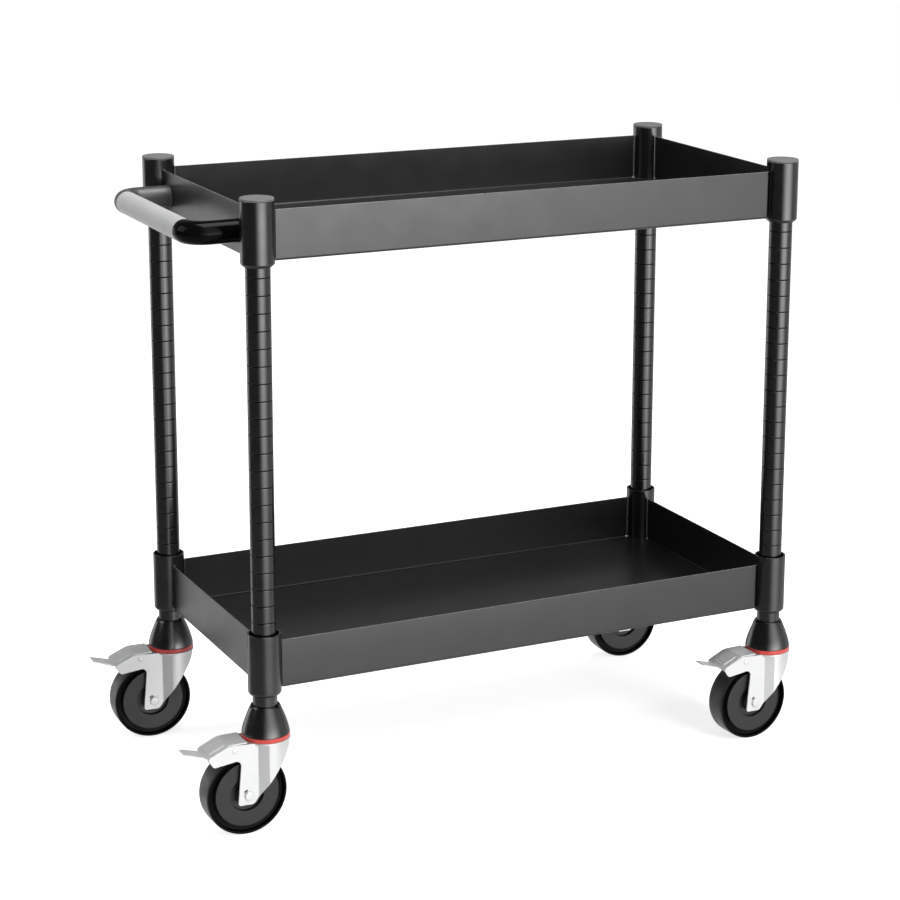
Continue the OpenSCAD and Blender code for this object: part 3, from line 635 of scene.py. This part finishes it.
cover_data = as_data(cover_mesh(), "cover")
bm = bmesh.new()
for at in POSTS:
    before = len(bm.verts)
    bm.from_mesh(cover_data)
    bm.verts.ensure_lookup_table()
    bmesh.ops.translate(bm, vec=(at.x, at.y, HEAD_TOP), verts=bm.verts[before:])
finish_mesh("bell_cover_set", bm, COVER, "frame", ["caster_covers"], sharp=40)

seal_low, seal_top = node_box("dust_seals")[0].z, HEAD_TOP - 0.4
outline = rounded([(SEAL_BORE_R, seal_low, 0), (SEAL_R, seal_low, 0.9), (SEAL_R, seal_top, 1.0),
                   (SEAL_BORE_R, seal_top, 0)])
bm = bmesh.new()
for at in POSTS:
    lathe(bm, outline, at_post(at))
finish_mesh("dust_seal_set", bm, SEAL, "frame", ["dust_seals"], sharp=50)

# ---- Casters, in the caster's own frame ----

WRAP_R, FORK_HALF, FORK_T = 34.3, 24.5, 2.5
FLANK_START, FLANK_END = 8.0, 22.0
KING_PIN_R, CROWN_R = 8.1, 36.2
# Oblong hole beside the axle: end radius, half its straight length, distance out and direction.
OBLONG_R, OBLONG_HALF, OBLONG_OUT, OBLONG_TURN = 1.6, 1.5, 9, 58
# Turns X and Y of an outline into X and Z, so that a prism's height runs along -Y.
SIDE_VIEW = Matrix(((1, 0, 0, 0), (0, 0, -1, 0), (0, 1, 0, 0), (0, 0, 0, 1)))
# Half length of a prism that goes right through a caster.
THROUGH = 40


def fork_plan(wrap, half, r):
    """Plan of the fork: round in front, flanks out to the arms, and arms to past the rear."""
    fy = math.sqrt(wrap * wrap - FLANK_START * FLANK_START)
    a = math.degrees(math.atan2(fy, FLANK_START))
    front = arc(0, 0, wrap, a + 4, 360 - a - 4, 48)
    lower = rounded([(*front[-1], 0), (FLANK_START, -fy, r), (FLANK_END, -half, r),
                     (TRAIL + 70, -half, 0)], closed=False, step=8)
    upper = [(x, -y) for x, y in lower[::-1]]
    return front + lower[1:] + upper[:-1]


def fork_mesh():
    """Bent plate cut to its side view, with the hole beside the axle, and the round crown."""
    top, axle_z = CROWN_TOP, WHEEL_R
    wall, hollow, view, oblong = (bmesh.new() for _ in range(4))
    prism(wall, fork_plan(WRAP_R, FORK_HALF, 4.0), 30, 160)
    # The inner outline runs out past the open rear end.
    inner = fork_plan(WRAP_R - FORK_T, FORK_HALF - FORK_T, 1.5)
    prism(hollow, [(x + (5 if x > TRAIL + 60 else 0), y) for x, y in inner], 20, 170)
    side = rounded([
        (-WRAP_R - 1, CROWN_LOW, 0), (-WRAP_R - 1, top - 1, 0), (FLANK_END + 2, top - 1, 3),
        (FLANK_END + 4.5, top + 0.2, 3), (TRAIL + 30, top + 3, 24), (TRAIL + 63, top - 11.5, 5),
        (TRAIL + 53.5, top - 26.5, 6), (TRAIL + 10.5, top - 21, 8),
        (TRAIL + 16.8, axle_z - 13.5, 4), (TRAIL - 8, axle_z - 14.2, 8)], step=6)
    prism(view, side, -THROUGH, THROUGH, SIDE_VIEW)
    c, s = math.cos(math.radians(OBLONG_TURN)), math.sin(math.radians(OBLONG_TURN))
    stadium = (arc(OBLONG_OUT, OBLONG_HALF, OBLONG_R, 0, 180, 8)
               + arc(OBLONG_OUT, -OBLONG_HALF, OBLONG_R, 180, 360, 8))
    prism(oblong, [(TRAIL + x * c - y * s, axle_z + x * s + y * c) for x, y in stadium],
          -THROUGH, THROUGH, SIDE_VIEW)
    bm = combine(wall, [("DIFFERENCE", hollow), ("INTERSECT", view), ("DIFFERENCE", oblong)],
                 bevel=0.45)
    crown = [(KING_PIN_R, CROWN_LOW), (CROWN_R - 1.7, CROWN_LOW), (CROWN_R - 0.6, CROWN_LOW + 0.3),
             (CROWN_R, CROWN_LOW + 1.2), (CROWN_R, top - 0.9), (CROWN_R - 0.3, top - 0.25),
             (CROWN_R - 0.9, top), (KING_PIN_R, top)]
    lathe(bm, crown, seg=120)
    return bm


def lever_mesh():
    """Bent lever plate with side ears, a raised pad with two plain slots, and a foot tongue.

    The plate runs level from its start to the crest and down a slope to the fold.
    """
    half, t = 21.5, 2.0
    start_x, crest_x, crest_z = 37.7, TRAIL + 29, CROWN_TOP + 4
    fold_x, fold_z = TRAIL + 62, CROWN_TOP - 11
    slope = math.atan2(crest_z - fold_z, fold_x - crest_x)
    k = math.tan(slope / 2)
    plate = bmesh.new()
    prism(plate, rounded([
        (start_x, crest_z, 0), (crest_x, crest_z, 12), (fold_x, fold_z, 0),
        (fold_x - t * k, fold_z - t, 0), (crest_x - t * k, crest_z - t, 10),
        (start_x, crest_z - t, 0)], step=5), -half, half, SIDE_VIEW)
    ear_outline = rounded([
        (PIN_X - 10, crest_z - 1, 0), (crest_x, crest_z - 1, 8), (fold_x - 0.5, fold_z - 1, 0),
        (fold_x - 1, fold_z - 6, 2), (PIN_X + 6, PIN_Z - 8, 4), (PIN_X - 8, PIN_Z - 8, 6)], step=8)
    ears = []
    for middle in (1 - half, half - 1):
        ear = bmesh.new()
        prism(ear, ear_outline, middle - 1, middle + 1, SIDE_VIEW)
        ears.append(("UNION", ear))
    bm = combine(plate, ears, bevel=0.5)

    # The pad is drawn flat and then laid on the slope.
    pad, cross_slot, end_slot = (bmesh.new() for _ in range(3))
    prism(pad, rounded([(1, -15, 3), (29, -13.5, 3), (29, 13.5, 3), (1, 15, 3)]), -0.5, 1.3)
    prism(cross_slot, rounded([(13, -9, 0.9), (15, -9, 0.9), (15, 9, 0.9), (13, 9, 0.9)], step=20),
          0.5, 2)
    prism(end_slot, rounded([(24.2, -7, 0.7), (25.8, -7, 0.7), (25.8, 7, 0.7), (24.2, 7, 0.7)],
                            step=20), 0.5, 2)
    pad = combine(pad, [("DIFFERENCE", cross_slot), ("DIFFERENCE", end_slot)], bevel=0.4)
    c, s = math.cos(slope), math.sin(slope)
    for vert in pad.verts:
        u, v, h = vert.co
        vert.co = (crest_x + 2.5 + u * c + h * s, v, crest_z - (u + 2.5 / c) * s + h * c - 0.25)

    tongue, plan = bmesh.new(), bmesh.new()
    root_x, tip_x, tip_z = fold_x - 4, 131.0, fold_z + 9
    prism(tongue, rounded([
        (root_x, fold_z, 0), (fold_x + 0.5, fold_z - 0.6, 4), (tip_x, tip_z, 0.8),
        (tip_x, tip_z - 2.2, 0.8), (fold_x + 1, fold_z - 3.4, 4), (root_x, fold_z - 2.2, 0)],
        step=8), -THROUGH, THROUGH, SIDE_VIEW)
    prism(plan, rounded([
        (root_x, -14.5, 0), (fold_x + 4, -14.5, 3), (tip_x + 1, -11.5, 2.5),
        (tip_x + 1, 11.5, 2.5), (fold_x + 4, 14.5, 3), (root_x, 14.5, 0)], step=10), 90, 170)
    tongue = combine(tongue, [("INTERSECT", plan)], bevel=0.4)
    for part in (pad, tongue):
        bm.from_mesh(as_data(part, "lever_part"))
    return bm


def both_sides(half):
    """Profile of (radius, half width) points, mirrored to the other side."""
    return half + [(r, -w) for r, w in half[::-1]]


WHEEL_AT = (Matrix.Translation((TRAIL, 0, WHEEL_R))
            @ Matrix.Rotation(math.radians(90), 4, "X"))
RIM_R, TYRE_SIDE_R = WHEEL_R - 12.5, 61
TYRE_PROFILE = both_sides([
    (RIM_R + 0.05, 11.0), (RIM_R + 1.2, 11.0), (57.0, 11.4), (57.6, 12.2), (57.9, 16.9),
    (58.2, 17.6), (58.9, 18.0), (60.4, 18.0), (61.2, 17.8), (61.9, 17.1), (62.3, 15.9),
    (62.42, 12), (62.48, 6), (62.5, 0)])
DISC_PROFILE = both_sides([
    (13.1, 16.6), (15.9, 16.6), (16.4, 16.3), (16.5, 15.8), (16.5, 11.8), (17.0, 11.2),
    (25.4, 11.2), (25.9, 11.7), (26.0, 16.3), (26.2, 16.9), (26.8, 17.2), (48.2, 17.2),
    (49.3, 16.9), (49.9, 16.1), (50.0, 11.0)])
fork_data, lever_data = as_data(fork_mesh(), "fork"), as_data(lever_mesh(), "lever")

for tag in CASTERS:
    m = caster_matrix(tag)
    bm = bmesh.new()
    bm.from_mesh(fork_data)
    finish_mesh("fork_pressing_" + tag, bm, ZINC, "swivel_" + tag, ["fork_" + tag],
                sharp=30, matrix=m)
    bm = bmesh.new()
    bm.from_mesh(lever_data)
    finish_mesh("brake_lever_pressing_" + tag, bm, LEVER, "brake_" + tag, ["brake_lever_" + tag],
                sharp=30, matrix=m)
    bm = bmesh.new()
    lathe(bm, TYRE_PROFILE, WHEEL_AT, seg=160)
    tyre = finish_mesh("tyre_moulding_" + tag, bm, TYRE, "wheel_" + tag, ["tyre_" + tag],
                       sharp=50, matrix=m)
    centre = m @ Vector((TRAIL, 0, WHEEL_R)) * MM
    axis = Vector(REST["wheel_" + tag]["axis"])
    # Painted shade: the tyre's sides, inside TYRE_SIDE_R, are deep black.
    second_material(tyre, GROOVE_SHADE, lambda c: (
        (c - centre).length_squared - ((c - centre) @ axis) ** 2 < (TYRE_SIDE_R * MM) ** 2))
    bm = bmesh.new()
    lathe(bm, DISC_PROFILE, WHEEL_AT, seg=128)
    finish_mesh("wheel_disc_" + tag, bm, DISC, "wheel_" + tag, ["wheel_centre_" + tag],
                sharp=50, matrix=m)

# ---- CAD nodes that stay: finish and small edge rounding ----

KEPT_EDGE, KEPT_MERGE = 0.3, 0.002
KEPT = {"upper_sleeves": SLEEVE, "lower_sleeves": SLEEVE, "handle_core": STEEL,
        "handle_bolts": ZINC, "handle_inserts": BRASS, "caster_stems": STEEL, "stem_nuts": STEEL,
        "caster_expanders": RUBBER, "swivel_heads": ZINC, "swivel_balls": STEEL}
for tag in CASTERS:
    KEPT.update({"axle_" + tag: ZINC, "axle_sleeve_" + tag: STEEL, "brake_pin_" + tag: ZINC,
                 "wheel_bearing_" + tag: STEEL, "brake_shoe_" + tag: STEEL})
for name, mat in KEPT.items():
    o = frame["nodes"][name]
    o.data.materials.clear()
    o.data.materials.append(mat)
    for f in o.data.polygons:
        f.use_smooth = True
    o.modifiers.new("weld", "WELD").merge_threshold = KEPT_MERGE * MM
    bevel_edges(o, "edges", KEPT_EDGE * MM, 2, 35).harden_normals = True

# ---- Floor ----

FLOOR_COLOUR, FLOOR_LIFT = (0.8, 0.8, 0.8, 1), 0.74
# Corners of the floor, in metres.
FLOOR_CORNERS = ((-14, -14), (14, -14), (14, 30), (-14, 30))


def stage_material(name):
    """Pale ground that keeps the shadow. The camera sees it lifted to white, and mirror rays
    pass through it to the world."""
    mat = bpy.data.materials.new(name)
    tree = Tree(mat)
    ray = tree.node("LightPath")
    ground, glow = tree.node("BsdfDiffuse"), tree.node("Emission")
    ground.inputs["Color"].default_value = FLOOR_COLOUR
    tree.put(glow.inputs["Strength"], tree.product(ray.outputs["Is Camera Ray"], FLOOR_LIFT))
    both, pick = tree.node("AddShader"), tree.node("MixShader")
    tree.put(both.inputs[0], ground.outputs[0])
    tree.put(both.inputs[1], glow.outputs[0])
    tree.put(pick.inputs[0], ray.outputs["Is Glossy Ray"])
    tree.put(pick.inputs[1], both.outputs[0])
    tree.put(pick.inputs[2], tree.node("BsdfTransparent").outputs[0])
    tree.put(tree.node("OutputMaterial").inputs[0], pick.outputs[0])
    return mat


bm = bmesh.new()
bm.faces.new([bm.verts.new((x, y, 0)) for x, y in FLOOR_CORNERS])
floor = to_object(bm, "floor")
floor.data.materials.append(stage_material("pale_floor"))

# ---- World ----

# The camera sees white. Diffuse rays get a plain dome. Mirror rays see a studio that is fixed in
# the world: a bright wall behind the object, pale walls at its sides, and a tall strip window
# before it. Azimuth 0 is the front and 90 the right. Each fade is (from, to, value at from, value
# at to) along one part of the ray's direction.
DOME = 0.33
WINDOW_AZIMUTH, WINDOW_CORE, WINDOW_END, WINDOW_STRENGTH = 12, 1, 46, 5.6
WINDOW_FADES_Z = ((-0.33, -0.18, 0.19, 1), (0.0, 0.25, 1, 0.4), (-0.385, -0.345, 0.3, 1))
BACK, BACK_FADE_Z = (0.5, 0.95, 0.1, 0.7), (0.0, 0.3, 1, 0.42)
RIGHT, RIGHT_FADE_Z = (0.3, 0.95, 0.0, 0.5), (-0.4, -0.3, 1.6, 1)
LEFT, LEFT_FADE_Y = (0.25, 0.5, 0.0, 1.1), (0.7, 0.9, 0, 1.25)
LEFT_FADES_Z = ((-0.35, -0.15, 0.5, 1), (0.0, 0.2, 1, 0))
GROUND = (-0.385, -0.342, 0.5, 0)

world = bpy.data.worlds.new("studio")
bpy.context.scene.world = world
tree = Tree(world)
ray = tree.node("LightPath")
direction = tree.node("SeparateXYZ")
tree.put(direction.inputs[0], tree.node("TexCoord").outputs["Generated"])
x, y, z = (direction.outputs[k] for k in "XYZ")

azimuth = tree.math("ARCTAN2", x, tree.math("MULTIPLY", y, -1))
off = tree.math("ABSOLUTE", tree.math("SUBTRACT", azimuth, math.radians(WINDOW_AZIMUTH)))
window = tree.fade(off, math.radians(WINDOW_CORE), math.radians(WINDOW_END), WINDOW_STRENGTH, 0)
window = tree.product(window, *(tree.fade(z, *f) for f in WINDOW_FADES_Z))
back = tree.product(tree.fade(y, *BACK), tree.fade(z, *BACK_FADE_Z))
right = tree.product(tree.fade(x, *RIGHT), tree.fade(z, *RIGHT_FADE_Z))
left = tree.product(tree.fade(tree.math("MULTIPLY", x, -1), *LEFT), tree.fade(y, *LEFT_FADE_Y),
                    *(tree.fade(z, *f) for f in LEFT_FADES_Z))
studio = tree.fade(z, *GROUND)
for wall in (window, back, right, left):
    studio = tree.math("ADD", studio, wall)
glossy = ray.outputs["Is Glossy Ray"]
dome = tree.product(tree.math("SUBTRACT", 1, glossy), DOME)
light, white, pick = tree.node("Background"), tree.node("Background"), tree.node("MixShader")
light.inputs["Color"].default_value = white.inputs["Color"].default_value = (1, 1, 1, 1)
tree.put(light.inputs["Strength"], tree.math("ADD", dome, tree.product(glossy, studio)))
white.inputs["Strength"].default_value = 1.0
tree.put(pick.inputs[0], ray.outputs["Is Camera Ray"])
tree.put(pick.inputs[1], light.outputs[0])
tree.put(pick.inputs[2], white.outputs[0])
tree.put(tree.node("OutputWorld").inputs[0], pick.outputs[0])

# ---- Lamps and camera, in metres ----

LAMP_TARGET, LAMP_DISTANCE = Vector((0.05, 0, 0.5)), 3.4


def softbox(name, azimuth, elevation, size, power):
    """Square area light at an azimuth (0 is the front, 90 the right) and elevation in degrees."""
    a, e = math.radians(azimuth), math.radians(elevation)
    way = Vector((math.sin(a) * math.cos(e), -math.cos(a) * math.cos(e), math.sin(e)))
    light = bpy.data.lights.new(name, "AREA")
    light.shape, light.size, light.energy = "SQUARE", size, power
    o = bpy.data.objects.new(name, light)
    o.location = LAMP_TARGET + way * LAMP_DISTANCE
    o.rotation_euler = (-way).to_track_quat("-Z", "Y").to_euler()
    bpy.context.scene.collection.objects.link(o)
    return o


# The world's window stands for the key lamp in mirror rays.
softbox("key_right", 19, 25, 1.6, 64).visible_glossy = False
softbox("fill_left", -105, 28, 1.8, 24)
softbox("overhead", 10, 84, 2.0, 110)

CAMERA_AT = Vector((-1.611, -3.441, 1.527))
CAMERA_YAW, CAMERA_PITCH, CAMERA_ROLL = (math.radians(v) for v in (26.86, 13.522, 0.446))
SENSOR_MM, LENS_MM, SHIFT_X, SHIFT_Y = 36, 100.04, -0.0758, -0.0934333

look = Vector((math.sin(CAMERA_YAW) * math.cos(CAMERA_PITCH),
               math.cos(CAMERA_YAW) * math.cos(CAMERA_PITCH), -math.sin(CAMERA_PITCH)))
level_x = Vector((math.cos(CAMERA_YAW), -math.sin(CAMERA_YAW), 0))
level_y = level_x.cross(look)
cam_x = math.cos(CAMERA_ROLL) * level_x + math.sin(CAMERA_ROLL) * level_y
cam_y = math.cos(CAMERA_ROLL) * level_y - math.sin(CAMERA_ROLL) * level_x
camera = bpy.data.objects.new("camera", bpy.data.cameras.new("camera"))
turned = Matrix((cam_x, cam_y, -look)).transposed().to_4x4()
camera.matrix_world = Matrix.Translation(CAMERA_AT) @ turned
camera.data.sensor_width, camera.data.lens = SENSOR_MM, LENS_MM
camera.data.shift_x, camera.data.shift_y = SHIFT_X, SHIFT_Y
camera.data.clip_end = 100
bpy.context.scene.collection.objects.link(camera)
bpy.context.scene.camera = camera
bpy.context.scene.view_settings.view_transform = "Standard"
